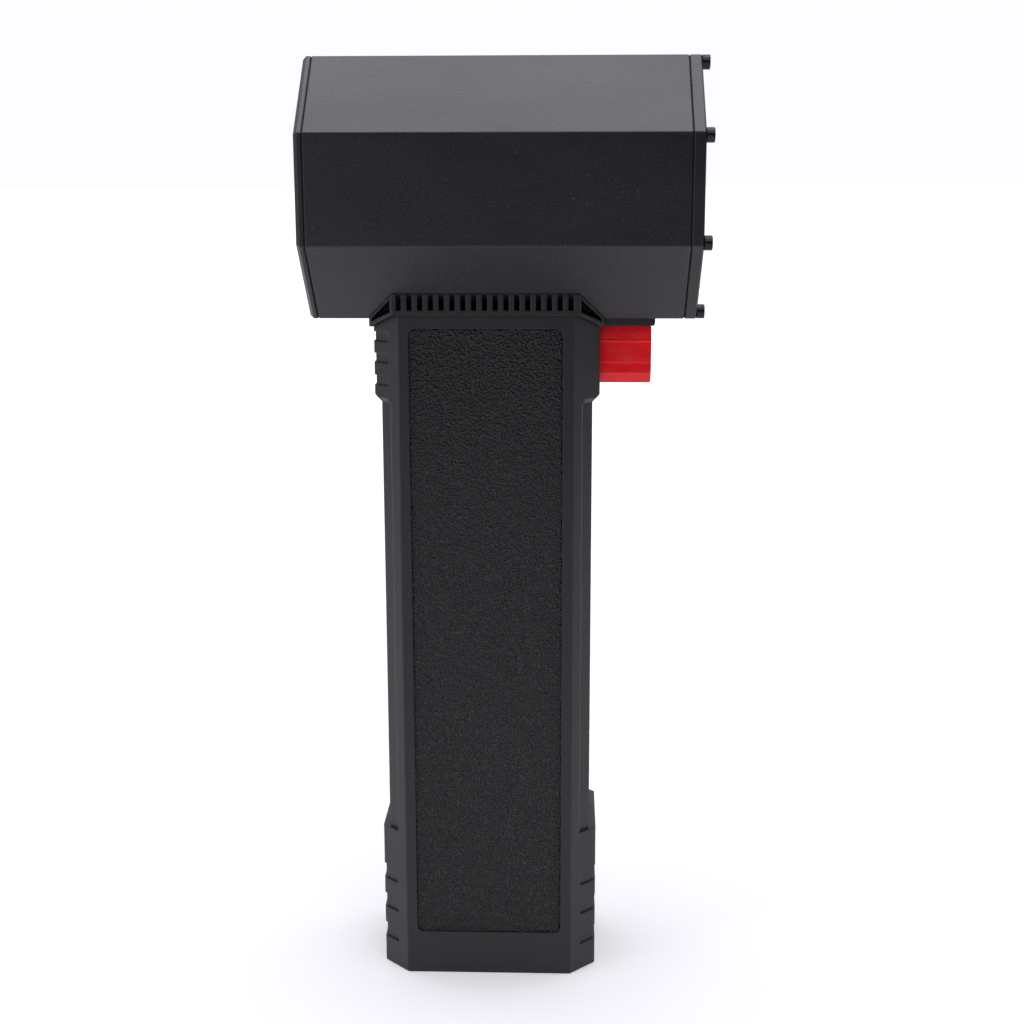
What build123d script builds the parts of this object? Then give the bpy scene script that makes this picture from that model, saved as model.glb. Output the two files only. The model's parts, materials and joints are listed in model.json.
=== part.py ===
from build123d import *
from math import cos, radians, sin, sqrt
import os

# Handheld jet dryer blower: an octagonal ducted-fan head on a battery handle.
# Millimetres. Origin at the centre of the handle's bottom face, +Z up,
# +X the way the air leaves, +Y the user's left side.

# ---- head -------------------------------------------------------------------
HEAD_Z = 261.4            # height of the fan axis
APOTHEM = 40.0            # axis to each flat of the octagonal head
BARREL_BACK = -53.3       # rear end of the barrel casing
BARREL_FRONT = 62.2       # front end of the barrel casing
INTAKE_BACK = -55.9       # rear face of the intake ring
OUTLET_FRONT = 66.0       # front face of the outlet ring
BORE_R = 37.0             # round bore through the barrel
LINER_R = 36.9            # outside of everything that slides into the bore
DUCT_R = 35.0             # airway round the fan
THROAT_R = 31.0           # airway at the end of the outlet liner
SOCKET_R = 32.5           # nozzle socket in the outlet ring
SOCKET_BACK = 52.2        # bottom of the nozzle socket
SEAM_BEVEL = 0.35         # bevel on each side of a ring joint

# ---- head screws ------------------------------------------------------------
FRONT_PCD_R = 40.86       # radius of the outlet screws
M25_HEAD_R = 2.25
M25_HEAD_H = 2.5
REAR_PCD_R = 39.9         # radius of the intake screws

# ---- fan and motor ----------------------------------------------------------
SHROUD_BACK = -42.0
SHROUD_FRONT = 44.0
HUB_R = 17.0              # fan hub and motor pod
POD_BORE_R = 15.1         # inside of the motor pod
POD_BACK = -17.5
POD_FRONT = 29.5
ROTOR_BACK = -39.0
ROTOR_FRONT = -18.5
TIP_R = 34.5
BLADES = 12
VANES = 7
SHAFT_R = 2.49
MOTOR_R = 15.0
MOTOR_BACK = -15.0
MOTOR_FRONT = 18.5
LEAD_R = 1.3              # motor lead, over its silicone jacket
LEAD_PITCH = 3.0
LEAD_DROP_X = 23.5        # where the motor leads go down through the strut
LEAD_ENTRY_X = 5.35       # where they go down into the handle
TROUGH_Z = 222.95         # height of the leads in the trough under the barrel

# ---- handle -----------------------------------------------------------------
HANDLE_X = 35.95          # half length of the handle's section
HANDLE_Y = 24.15          # half width
HANDLE_CORNER = 8.45      # 45 degree corners
CAVITY_X = 31.0
CAVITY_Y = 21.7
CAVITY_CORNER = 5.9
FLOOR_T = 3.0
RECESS_LOW = 50.0         # ledge at the bottom of the finger recess
RECESS_HIGH = 195.0       # start of the 45 degree slope out of it
RECESS_X = 33.6           # depth of the recess, from the centre
RECESS_EDGE_X = 30.8      # where the recess starts on the corner face
RECESS_ROUND = 0.8        # radius of that edge
NECK_Z = 223.0            # joint with the collar on the side faces
NECK_END_Z = 218.9        # the same joint at the front and back ends
END_Y = 17.05             # half width of the flat ends of the joint
PAD_X = 24.05
PAD_LOW = 15.1
PAD_HIGH = 218.7
PAD_POCKET = 0.9
PAD_GAP = 0.1
PAD_T = 0.75
NOTCH_DEPTH = 0.6
NOTCH_EDGE_X = 30.9
TOP_NOTCHES = ((200.3, 203.5), (207.6, 210.5), (214.3, 217.3))
LOW_NOTCHES = ((9.2, 14.4), (20.2, 25.2), (30.8, 36.1))
BOSS_R = 3.9
SCREW_SEAT = 3.0          # screw heads stop this far from the joint
BOSSES = ((-20, 19.5), (20, 19.5), (-20, 95.5), (20, 95.5), (-20, 171.5), (20, 171.5), (-19.5, 209.0))

# ---- collar and hood --------------------------------------------------------
COLLAR_X = 37.2
COLLAR_Y = 25.1
COLLAR_CORNER = 8.05
COLLAR_WALL = 2.2
SADDLE_LOW = 218.9        # underside of the plate under the head
FLAT_Z = HEAD_Z - APOTHEM # underside of the head
HOOD_FRONT = 53.3
HOOD_Y = 14.0
SLOTS = 17
SLOT_PITCH = 3.35
SLOT_MID = -0.2           # middle slot, from the handle's axis
SLOT_W = 1.6
SLOT_LOW = 224.6
SLOT_HIGH = 229.6

# ---- trigger ----------------------------------------------------------------
TRIGGER_FRONT = 52.3     # at rest; the trigger slides 7 mm back from here
TRIGGER_TOP = 218.6
TRIGGER_LOW = 200.4
# right half of the trigger's outline across its slide, as (half width, height)
TRIGGER_SIDE = ((11.0, TRIGGER_TOP), (12.15, 214.2), (12.3, 207.4), (12.2, 203.8), (10.0, TRIGGER_LOW))
TRIGGER_OPENING = ((11.35, TRIGGER_TOP), (12.55, 214.4), (12.6, 203.7), (10.25, TRIGGER_LOW - 0.3))
# finger ribs: each cut leaves a sharp lower edge above a surface that leans out again
RIB_CUTS = (
    ((12.05, 214.8), (11.8, 214.5), (12.12, 214.35)),
    ((12.2, 213.95), (11.65, 213.4), (12.3, 207.5)),
    ((12.32, 207.3), (11.8, 206.8), (12.2, 203.9)),
)
FLANGE_BACK = 29.0
FLANGE_FRONT = 30.9
SWITCH_BACK = 7.2
SWITCH_FRONT = 17.0
PLUNGER_R = 2.4
PLUNGER_Z = 208.5
SWITCH_LOW = 200.8
SPRING_END = 46.0         # bottom of the spring's bore in the trigger
SPRING_R = 4.0
SPRING_WIRE_R = 0.45
SPRING_TURNS = 9

# ---- battery ----------------------------------------------------------------
CELL_R = 9.1
CELL_L = 65.0
CELL_PITCH = 19.4
CELL_LAYERS = (25.0, 101.0)
STRIP_T = 0.3
HOLDER_H = 8.0
POWER_LEAD_R = 1.4
POWER_LEAD_X = 9.7
POWER_LEAD_Y = -17.6

# ---- boards -----------------------------------------------------------------
CONTROL_X = 2.4           # rear face of the speed controller board
BOARD_T = 1.6
CONTROL_LOW = 168.5
CONTROL_HIGH = 204.0
PROTECT_Z = 10.0          # underside of the battery protection board
JACK_X = -18.0
JACK_R = 2.85

HEAD_AXIS = Axis((0, 0, HEAD_Z), (1, 0, 0))
os.makedirs("parts", exist_ok=True)


# ---- helpers ----------------------------------------------------------------
def head_plane(x):
    """Plane across the fan axis: local x is +Y, local y is +Z."""
    return Plane(origin=(x, 0, HEAD_Z), x_dir=(0, 1, 0), z_dir=(1, 0, 0))


def save(part, name):
    part.label = name
    export_step(part, f"parts/{name}.step")


def tube(x0, x1, outer, inner=0.0):
    """Round tube or disc about the fan axis."""
    with BuildPart() as piece:
        with BuildSketch(head_plane(x0)):
            Circle(outer)
            if inner > 0:
                Circle(inner, mode=Mode.SUBTRACT)
        extrude(amount=x1 - x0)
    return piece.part


def turned(points):
    """Solid of revolution about the fan axis from (x, radius) points."""
    with BuildPart() as piece:
        with BuildSketch(Plane.XZ):
            with BuildLine():
                Polyline(*[(x, HEAD_Z + r) for x, r in points], close=True)
            make_face()
        revolve(axis=HEAD_AXIS)
    return piece.part


def octagon_slab(x0, x1):
    """Slice of the head's octagon between two positions on the fan axis."""
    with BuildPart() as piece:
        with BuildSketch(head_plane(x0)):
            RegularPolygon(APOTHEM, 8, major_radius=False, rotation=22.5)
        extrude(amount=x1 - x0)
    return piece.part


def box(x, y, z):
    """Box from its (low, high) span on each axis."""
    with BuildPart() as piece:
        with Locations(((x[0] + x[1]) / 2, (y[0] + y[1]) / 2, (z[0] + z[1]) / 2)):
            Box(x[1] - x[0], y[1] - y[0], z[1] - z[0])
    return piece.part


def corner_block(half_x, half_y, corner, z0, z1):
    """Upright block with 45 degree corners, centred on the handle."""
    with BuildPart() as piece:
        with BuildSketch(Plane.XY.offset(z0)) as outline:
            Rectangle(2 * half_x, 2 * half_y)
            chamfer(outline.vertices(), corner)
        extrude(amount=z1 - z0)
    return piece.part


def cap_screw(start, direction, shank_r, length, head_r, head_h, hex_flats):
    """Socket cap screw: start is under the head, direction points along the shank."""
    with BuildPart() as piece:
        with BuildSketch(Plane(origin=start, z_dir=direction)):
            Circle(shank_r)
        extrude(amount=length)
        with BuildSketch(Plane(origin=start, z_dir=[-d for d in direction])):
            Circle(head_r)
        extrude(amount=head_h)
        rim = piece.edges().filter_by(GeomType.CIRCLE).filter_by(lambda e: e.radius > head_r - 0.01)
        chamfer(rim, 0.18)
        top = Plane(origin=Vector(*start) - Vector(*direction) * head_h, z_dir=direction)
        with BuildSketch(top):
            RegularPolygon(hex_flats / 2, 6, major_radius=False)
        extrude(amount=head_h * 0.55, mode=Mode.SUBTRACT)
    return piece.part


def flat_head(start, direction, shank_r, length, head_r, head_h):
    """Countersunk head and shank: start is the centre of the flush top face."""
    with BuildPart() as piece:
        with BuildSketch(Plane(origin=start, z_dir=direction)):
            Circle(head_r)
        with BuildSketch(Plane(origin=Vector(*start) + Vector(*direction) * head_h, z_dir=direction)):
            Circle(shank_r)
        loft()
        with BuildSketch(Plane(origin=start, z_dir=direction)):
            Circle(shank_r)
        extrude(amount=length)
    return piece.part


def around(radius, count, first, x):
    """Points on a circle about the fan axis, first measured from +Y towards +Z."""
    spots = []
    for k in range(count):
        a = radians(first + 360 * k / count)
        spots.append((x, radius * cos(a), HEAD_Z + radius * sin(a)))
    return spots


def lead(points, bend, radius):
    """Round wire along straight runs joined by tangent arcs."""
    with BuildPart() as piece:
        with BuildLine() as route:
            if len(points) > 2:
                FilletPolyline(*points, radius=bend)
            else:
                Line(*points)
        with BuildSketch(Plane(origin=route.line @ 0, z_dir=route.line % 0)):
            Circle(radius)
        sweep(path=route.line)
    return piece.part


def crescent(chord, camber, thick):
    """Blade section in the current sketch plane, chord along local x."""
    half = chord / 2
    with BuildSketch() as section:
        with BuildLine():
            ThreePointArc((-half, 0), (0, camber + thick / 2), (half, 0))
            ThreePointArc((half, 0), (0, camber - thick / 2), (-half, 0))
        make_face()
    return section.sketch


# ---- barrel casing ----------------------------------------------------------
with BuildPart() as barrel_casing:
    with BuildSketch(head_plane(BARREL_BACK)):
        RegularPolygon(APOTHEM, 8, major_radius=False, rotation=22.5)
    extrude(amount=BARREL_FRONT - BARREL_BACK)
    long_edges = barrel_casing.edges().filter_by(Axis.X)
    fillet(long_edges, 0.6)
    chamfer(barrel_casing.faces().sort_by(Axis.X)[0].edges(), SEAM_BEVEL)
    chamfer(barrel_casing.faces().sort_by(Axis.X)[-1].edges(), SEAM_BEVEL)
    with BuildSketch(head_plane(BARREL_BACK)):
        Circle(BORE_R)
    extrude(amount=BARREL_FRONT - BARREL_BACK, mode=Mode.SUBTRACT)
    # seat of the intake grille
    with BuildSketch(head_plane(BARREL_BACK)):
        Circle(38.05)
    extrude(amount=1.5, mode=Mode.SUBTRACT)
    # tapped holes: outlet screws, intake screws, collar screws
    with BuildSketch(head_plane(BARREL_FRONT)):
        with PolarLocations(FRONT_PCD_R, 8, start_angle=22.5):
            Circle(1.26)
    extrude(amount=-8, mode=Mode.SUBTRACT)
    with BuildSketch(head_plane(BARREL_BACK)):
        with PolarLocations(REAR_PCD_R, 8, start_angle=22.5):
            Circle(1.02)
    extrude(amount=6, mode=Mode.SUBTRACT)
    with BuildSketch(Plane.XY.offset(FLAT_Z)):
        with GridLocations(52, 28, 2, 2):
            Circle(1.51)
    extrude(amount=5, mode=Mode.SUBTRACT)
    # trough for the motor leads through the floor of the barrel
    add(box((2.8, 26.0), (-4.9, 4.9), (FLAT_Z - 1, HEAD_Z - 35)), mode=Mode.SUBTRACT)

# ---- intake end -------------------------------------------------------------
with BuildPart() as intake_ring:
    add(octagon_slab(INTAKE_BACK, BARREL_BACK))
    chamfer(intake_ring.faces().sort_by(Axis.X)[0].edges(), 1.1)
    chamfer(intake_ring.faces().sort_by(Axis.X)[-1].edges(), SEAM_BEVEL)
    add(tube(INTAKE_BACK, BARREL_BACK, 35.5), mode=Mode.SUBTRACT)
    for spot in around(REAR_PCD_R, 8, 22.5, INTAKE_BACK):
        add(flat_head(spot, (1, 0, 0), 1.1, 3, 2.0, 1.0), mode=Mode.SUBTRACT)

with BuildPart() as intake_screws:
    for spot in around(REAR_PCD_R, 8, 22.5, INTAKE_BACK + 0.03):
        add(flat_head(spot, (1, 0, 0), 0.98, 7, 1.88, 0.95))
    with BuildSketch(head_plane(INTAKE_BACK + 0.03)):
        with PolarLocations(REAR_PCD_R, 8, start_angle=22.5):
            RegularPolygon(0.65, 6, major_radius=False)
    extrude(amount=0.8, mode=Mode.SUBTRACT)

with BuildPart() as intake_grille:
    add(tube(BARREL_BACK, BARREL_BACK + 1.5, 38.0, 34.2))
    for ring_r in (27.6, 21.0, 14.4):
        add(tube(BARREL_BACK, BARREL_BACK + 1.5, ring_r + 0.75, ring_r - 0.75))
    add(tube(BARREL_BACK, BARREL_BACK + 1.5, 8.0))
    with BuildSketch(head_plane(BARREL_BACK)):
        with PolarLocations(21.2, 16, start_angle=11.25):
            Rectangle(27.6, 1.3)
    extrude(amount=1.5)

with BuildPart() as inlet_lip:
    with BuildSketch(Plane.XZ):
        with BuildLine():
            Polyline(
                (SHROUD_BACK, HEAD_Z + DUCT_R),
                (SHROUD_BACK, HEAD_Z + LINER_R),
                (BARREL_BACK + 1.5, HEAD_Z + LINER_R),
                (BARREL_BACK + 1.5, HEAD_Z + 36.4),
            )
            ThreePointArc(
                (BARREL_BACK + 1.5, HEAD_Z + 36.4),
                (BARREL_BACK + 4.2, HEAD_Z + 35.35),
                (BARREL_BACK + 8.0, HEAD_Z + DUCT_R),
            )
            Line((BARREL_BACK + 8.0, HEAD_Z + DUCT_R), (SHROUD_BACK, HEAD_Z + DUCT_R))
        make_face()
    revolve(axis=HEAD_AXIS)

# ---- outlet end -------------------------------------------------------------
with BuildPart() as outlet_ring:
    add(octagon_slab(BARREL_FRONT, OUTLET_FRONT))
    fillet(outlet_ring.edges().filter_by(Axis.X), 0.6)
    chamfer(outlet_ring.faces().sort_by(Axis.X)[0].edges(), SEAM_BEVEL)
    chamfer(outlet_ring.faces().sort_by(Axis.X)[-1].edges(), 0.4)
    add(tube(SOCKET_BACK, BARREL_FRONT, LINER_R))
    add(tube(SOCKET_BACK, OUTLET_FRONT, SOCKET_R), mode=Mode.SUBTRACT)
    with BuildSketch(head_plane(BARREL_FRONT)):
        with PolarLocations(FRONT_PCD_R, 8, start_angle=22.5):
            Circle(1.4)
    extrude(amount=OUTLET_FRONT - BARREL_FRONT, mode=Mode.SUBTRACT)

with BuildPart() as outlet_screws:
    for spot in around(FRONT_PCD_R, 8, 22.5, OUTLET_FRONT):
        add(cap_screw(spot, (-1, 0, 0), 1.24, 10, M25_HEAD_R, M25_HEAD_H, 2.0))

outlet_liner = turned([
    (SHROUD_FRONT, DUCT_R), (SHROUD_FRONT, LINER_R), (SOCKET_BACK, LINER_R), (SOCKET_BACK, THROAT_R),
])

# ---- fan shroud with motor pod, vanes and lead strut ------------------------
with BuildPart() as vane:
    with BuildSketch(Plane(origin=(4, 0, HEAD_Z + 16.0), x_dir=(1, 0.18, 0), z_dir=(0, 0, 1))):
        add(crescent(24, 2.6, 1.9))
    extrude(amount=19.8)

with BuildPart() as fan_shroud:
    add(tube(SHROUD_BACK, SHROUD_FRONT, LINER_R, DUCT_R))
    add(tube(POD_BACK, POD_FRONT, HUB_R, POD_BORE_R))
    for k in range(VANES):
        add(vane.part.rotate(HEAD_AXIS, 180 + 45 * (k + 1)))
    # hollow strut that carries the motor leads down to the handle
    with BuildSketch(Plane.XY.offset(HEAD_Z - 36)):
        with BuildLine():
            ThreePointArc((21.0, -6.2), (17.0, 0), (21.0, 6.2))
            Line((21.0, 6.2), (26.5, 6.2))
            ThreePointArc((26.5, 6.2), (28.6, 3.6), (29.4, 0))
            ThreePointArc((29.4, 0), (28.6, -3.6), (26.5, -6.2))
            Line((26.5, -6.2), (21.0, -6.2))
        make_face()
    extrude(amount=20.7)
    add(tube(MOTOR_BACK, 40, POD_BORE_R), mode=Mode.SUBTRACT)
    add(box((21.9, 25.1), (-4.6, 4.6), (HEAD_Z - 40, HEAD_Z - 10)), mode=Mode.SUBTRACT)
    add(box((18.4, 25.1), (-4.8, 4.8), (HEAD_Z - 40, HEAD_Z - DUCT_R + 0.2)), mode=Mode.SUBTRACT)
    # front plate of the pod, drilled for the shaft and the motor screws
    add(tube(POD_BACK, MOTOR_BACK, HUB_R, 6.5))
    with BuildSketch(head_plane(POD_BACK)):
        with PolarLocations(9.5, 4, start_angle=45):
            Circle(1.6)
    extrude(amount=2.5, mode=Mode.SUBTRACT)

# ---- tail cone --------------------------------------------------------------
tail_cone = turned([
    (27.0, 13.4), (27.0, 15.0), (POD_FRONT, 15.0), (POD_FRONT, HUB_R), (36.0, 14.6), (43.0, 10.6),
    (48.5, 5.8), (51.0, 2.4), (51.0, 0), (49.2, 0), (47.0, 4.4), (41.8, 9.2), (35.2, 12.9), (31.0, 13.4),
])

# ---- fan rotor --------------------------------------------------------------
with BuildPart() as blade:
    for radius, pitch, chord, thick in ((14.6, 52, 16.0, 2.2), (25.0, 40, 16.6, 1.7), (35.2, 30, 16.0, 1.2)):
        along = (cos(radians(pitch)), sin(radians(pitch)), 0)
        with BuildSketch(Plane(origin=(-29.5, 0, HEAD_Z + radius), x_dir=along, z_dir=(0, 0, 1))):
            add(crescent(chord, 1.3, thick))
    loft()
    add(tube(-45, -15, TIP_R), mode=Mode.INTERSECT)

with BuildPart() as fan_rotor:
    add(turned([
        (ROTOR_BACK, 2.5), (ROTOR_BACK, HUB_R), (ROTOR_FRONT, HUB_R), (ROTOR_FRONT, 15.0),
        (-35.5, 15.0), (-35.5, 6.0), (-20.5, 6.0), (-20.5, 2.5),
    ]))
    for k in range(BLADES):
        add(blade.part.rotate(HEAD_AXIS, 360 * k / BLADES))
    add(turned([(-35.5, 6.0), (-35.5, 15.0), (-16.0, 15.0), (-16.0, 6.0)]), mode=Mode.SUBTRACT)

spinner = turned([
    (ROTOR_BACK, HUB_R), (-42.0, 16.2), (-45.0, 14.0), (-47.6, 10.6), (-49.4, 6.2), (-50.0, 3.0),
    (-48.0, 3.0), (-48.0, 1.6), (-43.6, 1.6), (-43.6, 4.0), (-46.8, 4.6), (-46.0, 8.6), (-43.6, 12.4),
    (-41.0, 14.4), (ROTOR_BACK, 15.2),
])

spinner_screw = cap_screw((-48.0, 0, HEAD_Z), (1, 0, 0), 1.45, 10, 2.6, 1.6, 2.0)

with BuildPart() as rotor_nut:
    with BuildSketch(head_plane(-42.9)):
        RegularPolygon(4.0, 6, major_radius=False)
        Circle(2.51, mode=Mode.SUBTRACT)
    extrude(amount=3.9)

with BuildPart() as motor_shaft:
    add(tube(-43.5, 18.8, SHAFT_R))
    chamfer(motor_shaft.edges().filter_by(GeomType.CIRCLE), 0.3)
    add(tube(-43.5, -37.5, 1.48), mode=Mode.SUBTRACT)

rotor_magnet = tube(-6, 8, 7.6, 2.5)

# ---- motor ------------------------------------------------------------------
motor_can = tube(MOTOR_BACK, MOTOR_FRONT, MOTOR_R, 13.6)

with BuildPart() as motor_end_plate:
    add(turned([
        (MOTOR_BACK, 4.4), (MOTOR_BACK, 13.55), (-11.5, 13.55), (-11.5, 5.52), (-14.5, 5.52), (-14.5, 4.4),
    ]))
    with BuildSketch(head_plane(MOTOR_BACK)):
        with PolarLocations(9.5, 4, start_angle=45):
            Circle(1.51)
    extrude(amount=4, mode=Mode.SUBTRACT)

with BuildPart() as motor_rear_cap:
    add(turned([
        (14.5, 5.52), (14.5, 13.55), (MOTOR_FRONT, 13.55), (MOTOR_FRONT, 4.4), (18.0, 4.4), (18.0, 5.52),
    ]))
    for side in (-1, 0, 1):
        hole = tube(14, 19, LEAD_R + 0.15).moved(Location((0, side * LEAD_PITCH, -10.4)))
        add(hole, mode=Mode.SUBTRACT)

with BuildPart() as motor_bearings:
    add(tube(-14.5, -11.0, 5.5, 2.52))
    add(tube(14.5, 18.0, 5.5, 2.52))

with BuildPart() as motor_stator_core:
    add(tube(-7, 9, 13.55, 11.5))
    for k in range(6):
        tooth = box((-7, 9), (-2.0, 2.0), (HEAD_Z + 8.2, HEAD_Z + 12.0))
        add(tooth.rotate(HEAD_AXIS, 60 * k))
    add(tube(-7, 9, 8.0), mode=Mode.SUBTRACT)

with BuildPart() as coil:
    add(box((-8.9, 10.9), (-3.7, 3.7), (HEAD_Z + 8.9, HEAD_Z + 10.8)))
    fillet(coil.edges().filter_by(Axis.Z), 1.6)
    add(box((-7.15, 9.15), (-2.05, 2.05), (HEAD_Z + 8, HEAD_Z + 12)), mode=Mode.SUBTRACT)

with BuildPart() as motor_windings:
    for k in range(6):
        add(coil.part.rotate(HEAD_AXIS, 60 * k))

with BuildPart() as motor_screws:
    for spot in around(9.5, 4, 45, POD_BACK):
        add(cap_screw(spot, (1, 0, 0), 1.48, 5.8, 2.7, 1.6, 2.0))

with BuildPart() as motor_leads:
    for side in (-1, 0, 1):
        y = side * LEAD_PITCH
        route = [
            (13.6, y, HEAD_Z - 10.4), (LEAD_DROP_X, y, HEAD_Z - 10.4), (LEAD_DROP_X, y, TROUGH_Z),
            (LEAD_ENTRY_X, y, TROUGH_Z), (LEAD_ENTRY_X, y, 196.0),
        ]
        add(lead(route, 4.0, LEAD_R))

# ---- vent collar with trigger hood ------------------------------------------
with BuildPart() as neck_cut:
    # everything below the joint line between handle and collar
    with BuildSketch(Plane.XZ):
        with BuildLine():
            Polyline(
                (-60, NECK_END_Z), (-COLLAR_X, NECK_END_Z), (COLLAR_CORNER - COLLAR_X, NECK_Z),
                (COLLAR_X - COLLAR_CORNER, NECK_Z), (COLLAR_X, NECK_END_Z), (60, NECK_END_Z),
                (60, -10), (-60, -10), close=True,
            )
        make_face()
    extrude(amount=40, both=True)

inner_x = COLLAR_X - COLLAR_WALL
inner_y = COLLAR_Y - COLLAR_WALL
inner_corner = COLLAR_CORNER - COLLAR_WALL * (2 - sqrt(2))

with BuildPart() as vent_collar:
    add(corner_block(COLLAR_X, COLLAR_Y, COLLAR_CORNER, 205, 232))
    add(corner_block(inner_x, inner_y, inner_corner, 204, 233), mode=Mode.SUBTRACT)
    add(neck_cut.part, mode=Mode.SUBTRACT)
    # plate under the head, carried forward as the trigger hood
    add(box((-COLLAR_X, COLLAR_X), (-END_Y, END_Y), (SADDLE_LOW, FLAT_Z + 2)))
    with BuildSketch(Plane.XZ.offset(-HOOD_Y)):
        with BuildLine():
            Polyline(
                (inner_x, SADDLE_LOW), (HOOD_FRONT - 0.4, SADDLE_LOW), (HOOD_FRONT, SADDLE_LOW + 0.8),
                (HOOD_FRONT, FLAT_Z), (inner_x, FLAT_Z), close=True,
            )
        make_face()
    extrude(amount=2 * HOOD_Y)
    # ribs from the plate out to the side walls, and spigots that stand inside the neck
    for side in (-1, 1):
        for k in (-7.5, -4.5, -1.5, 1.5, 4.5, 7.5):
            rib_x = (SLOT_MID + k * SLOT_PITCH - 0.7, SLOT_MID + k * SLOT_PITCH + 0.7)
            add(box(rib_x, sorted((side * 16.0, side * 19.9)), (SADDLE_LOW, 232)))
            add(box(rib_x, sorted((side * 16.0, side * (inner_y + 0.5))), (NECK_Z, 232)))
        add(box((-24.9, 24.9), sorted((side * 20.1, side * 21.5)), (213.0, 224.0)))
        add(box((-24.9, 24.9), sorted((side * 20.1, side * 23.5)), (NECK_Z, 224.0)))
    # the head's underside
    add(octagon_slab(-70, 70), mode=Mode.SUBTRACT)
    # vent slots on both sides
    for k in range(SLOTS):
        x = SLOT_MID + (k - (SLOTS - 1) / 2) * SLOT_PITCH
        slot_span = (x - SLOT_W / 2, x + SLOT_W / 2)
        add(box(slot_span, (-30, -inner_y + 0.2), (SLOT_LOW, SLOT_HIGH)), mode=Mode.SUBTRACT)
        add(box(slot_span, (inner_y - 0.2, 30), (SLOT_LOW, SLOT_HIGH)), mode=Mode.SUBTRACT)
    # triangular openings in the four corner faces
    for sx in (-1, 1):
        for sy in (-1, 1):
            face_mid = (sx * (COLLAR_X - COLLAR_CORNER), sy * COLLAR_Y, 0)
            run = Vector(sx, -sy, 0).normalized()
            corner_plane = Plane(origin=face_mid, x_dir=run, z_dir=run.cross(Vector(0, 0, 1)))
            with BuildSketch(corner_plane):
                with BuildLine():
                    Polyline(
                        (1.0, 224.0), (1.0, 228.0), (9.9, 221.8), (10.4, 220.9), (9.7, 220.85), close=True,
                    )
                make_face()
            extrude(amount=3.0, both=True, mode=Mode.SUBTRACT)
    # holes for the four saddle screws and the opening for the motor leads
    with BuildSketch(Plane.XY.offset(SADDLE_LOW - 1)):
        with GridLocations(52, 28, 2, 2):
            Circle(1.65)
    extrude(amount=5, mode=Mode.SUBTRACT)
    add(box((2.6, 11.5), (-5.6, 5.6), (SADDLE_LOW - 1, FLAT_Z + 1)), mode=Mode.SUBTRACT)

with BuildPart() as collar_screws:
    for x in (-26, 26):
        for y in (-14, 14):
            add(cap_screw((x, y, SADDLE_LOW), (0, 0, 1), 1.48, 6.8, 2.7, 1.6, 2.0))


# ---- handle shells ----------------------------------------------------------
def recess_cut(side):
    """Finger recess on the front (+1) or back (-1) face, sloped out at its top."""
    edge_y = HANDLE_X + HANDLE_Y - HANDLE_CORNER - RECESS_EDGE_X
    tangent = RECESS_ROUND / sqrt(2)
    arc_x = RECESS_EDGE_X - tangent
    wall_x = RECESS_EDGE_X - 0.7
    with BuildPart() as piece:
        with BuildSketch(Plane.XY.offset(RECESS_LOW)) as low:
            with BuildLine():
                ThreePointArc(
                    (side * arc_x, edge_y + tangent),
                    (side * (RECESS_EDGE_X - RECESS_ROUND * (sqrt(2) - 1)), edge_y),
                    (side * arc_x, edge_y - tangent),
                )
                Polyline(
                    (side * arc_x, edge_y - tangent), (side * wall_x, edge_y - 0.7),
                    (side * RECESS_X, edge_y - 0.7 - (RECESS_X - wall_x)), (side * RECESS_X, 0),
                    (side * 45, 0), (side * 45, edge_y + tangent), (side * arc_x, edge_y + tangent),
                )
            make_face()
            mirror(about=Plane.XZ)
        extrude(amount=RECESS_HIGH - RECESS_LOW)
        with BuildSketch(Plane.XY.offset(RECESS_HIGH)):
            add(low.sketch_local)
        extrude(amount=5 * sqrt(2), dir=(side, 0, 1))
    return piece.part


def notch_cut(side, z0, z1):
    """Shallow grip notch across the front or back face and half of its corners."""
    keep_x = HANDLE_X - NOTCH_DEPTH
    keep_corner = HANDLE_CORNER - NOTCH_DEPTH * (2 - sqrt(2))
    with BuildPart() as piece:
        add(box(sorted((side * NOTCH_EDGE_X, side * 45)), (-30, 30), (z0, z1)))
        add(corner_block(keep_x, HANDLE_Y - NOTCH_DEPTH, keep_corner, z0, z1), mode=Mode.SUBTRACT)
    return piece.part


def trigger_section(half, x0, x1):
    """Prism along X from the right half of a section, mirrored to the left."""
    outline = half + tuple((-y, z) for y, z in reversed(half))
    with BuildPart() as piece:
        with BuildSketch(Plane.YZ.offset(x0)):
            with BuildLine():
                Polyline(*outline, close=True)
            make_face()
        extrude(amount=x1 - x0)
    return piece.part


def rib_cut(profile):
    """Cutter for one finger rib, on both sides of the trigger."""
    with BuildPart() as piece:
        with BuildSketch(Plane.YZ.offset(FLANGE_FRONT)):
            with BuildLine():
                Polyline((15, profile[0][1]), *profile, (15, profile[-1][1]), close=True)
            make_face()
            mirror(about=Plane.YZ)
        extrude(amount=30)
    return piece.part


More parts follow.
